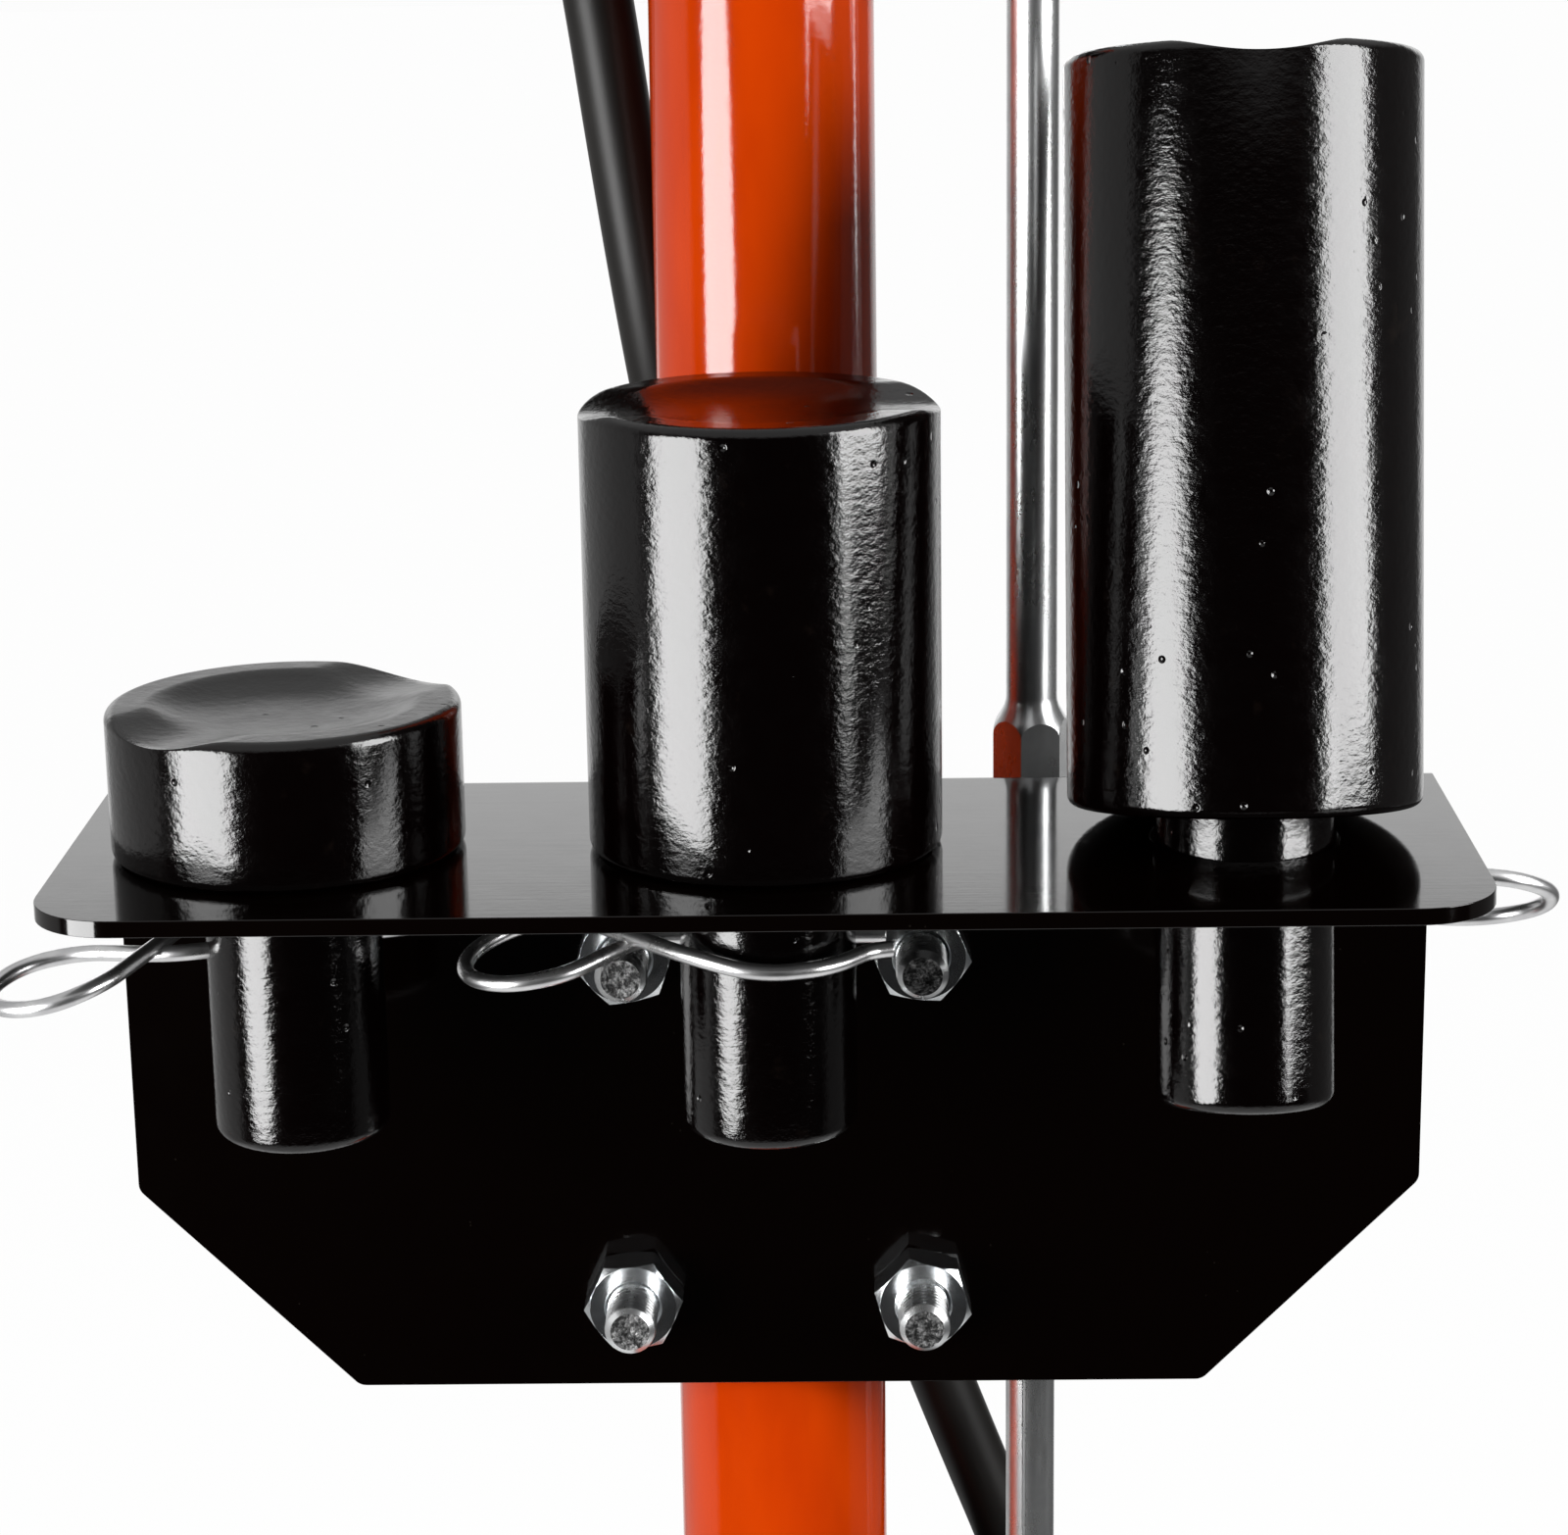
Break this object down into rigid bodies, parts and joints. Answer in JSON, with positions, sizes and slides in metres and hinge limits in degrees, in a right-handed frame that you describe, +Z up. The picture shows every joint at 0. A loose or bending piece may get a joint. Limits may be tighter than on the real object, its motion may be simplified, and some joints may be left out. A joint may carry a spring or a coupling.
{
  "type": "jack saddle adapter rack",
  "caption": "Saddle adapter rack U-bolted to a section of jack handle, with stub-shaft adapters held by ring clips, a control rod and an air hose.",
  "frame": {"origin": "handle tube's axis at its lower end, the lower_bore mount", "axes": "+Z up the handle tube, the rack on the -Y side, +X to the right of somebody who faces the rack"},
  "size_m": [0.283, 0.1667, 0.4451],
  "materials": {
    "orange_coat": "gloss powder coat",
    "black_coat": "gloss powder coat with orange peel",
    "zinc": "bright zinc plate",
    "clip_wire": "bright zinc plated spring wire",
    "spring_steel": "oiled black steel",
    "hose_rubber": "matte",
    "fitting_brass": "machined",
    "nylon": "moulded"
  },
  "bodies": {
    "handle": {"handle_tube": "orange_coat", "rack_bracket": "black_coat", "ubolt_upper": "zinc", "ubolt_lower": "zinc", "ubolt_nuts": "zinc", "upper_guide_plate": "black_coat", "lower_guide_plate": "black_coat", "hub_screws": "spring_steel", "rod_bushes": "nylon", "hose_grommets": "hose_rubber", "air_hose": "hose_rubber", "hose_ferrules": "fitting_brass", "hose_nipples": "fitting_brass"},
    "short_adapter_body": {"short_adapter": "black_coat"},
    "medium_adapter_body": {"medium_adapter": "black_coat"},
    "tall_adapter_body": {"tall_adapter": "black_coat"},
    "short_clip_body": {"short_adapter_clip": "clip_wire"},
    "medium_clip_body": {"medium_adapter_clip": "clip_wire"},
    "tall_clip_body": {"tall_adapter_clip": "clip_wire"},
    "control_rod": {"upper_control_rod": "zinc", "lower_control_rod": "zinc", "rod_coupling_pin": "spring_steel", "rod_collars": "zinc", "collar_screws": "spring_steel"}
  },
  "joints": [
    {"name": "short_adapter_lift", "type": "slide", "parent": "handle", "child": "short_adapter_body", "axis": [0, 0, 1], "range_m": [0, 0.008]},
    {"name": "short_clip_swing", "type": "hinge", "parent": "short_adapter_body", "child": "short_clip_body", "pos_m": [-0.086, -0.06735, 0.20705], "axis": [0.9397, 0.342, 0], "range_deg": [-14, 6]},
    {"name": "medium_adapter_lift", "type": "slide", "parent": "handle", "child": "medium_adapter_body", "axis": [0, 0, 1], "range_m": [0, 0.0095]},
    {"name": "medium_clip_swing", "type": "hinge", "parent": "medium_adapter_body", "child": "medium_clip_body", "pos_m": [0, -0.06735, 0.20705], "axis": [1, 0, 0], "range_deg": [-10, 12]},
    {"name": "tall_adapter_rock", "type": "hinge", "parent": "handle", "child": "tall_adapter_body", "pos_m": [0.086, -0.0367, 0.2271], "axis": [1, 0, 0], "range_deg": [0, 10]},
    {"name": "tall_clip_swing", "type": "hinge", "parent": "tall_adapter_body", "child": "tall_clip_body", "pos_m": [0.086, -0.0696, 0.21286], "axis": [-1, 0, 0], "range_deg": [-30, 0]},
    {"name": "control_rod_turn", "type": "hinge", "parent": "handle", "child": "control_rod", "pos_m": [0.0511, 0.0015, 0.225], "axis": [0, 0, 1], "range_deg": [0, 180]}
  ]
}
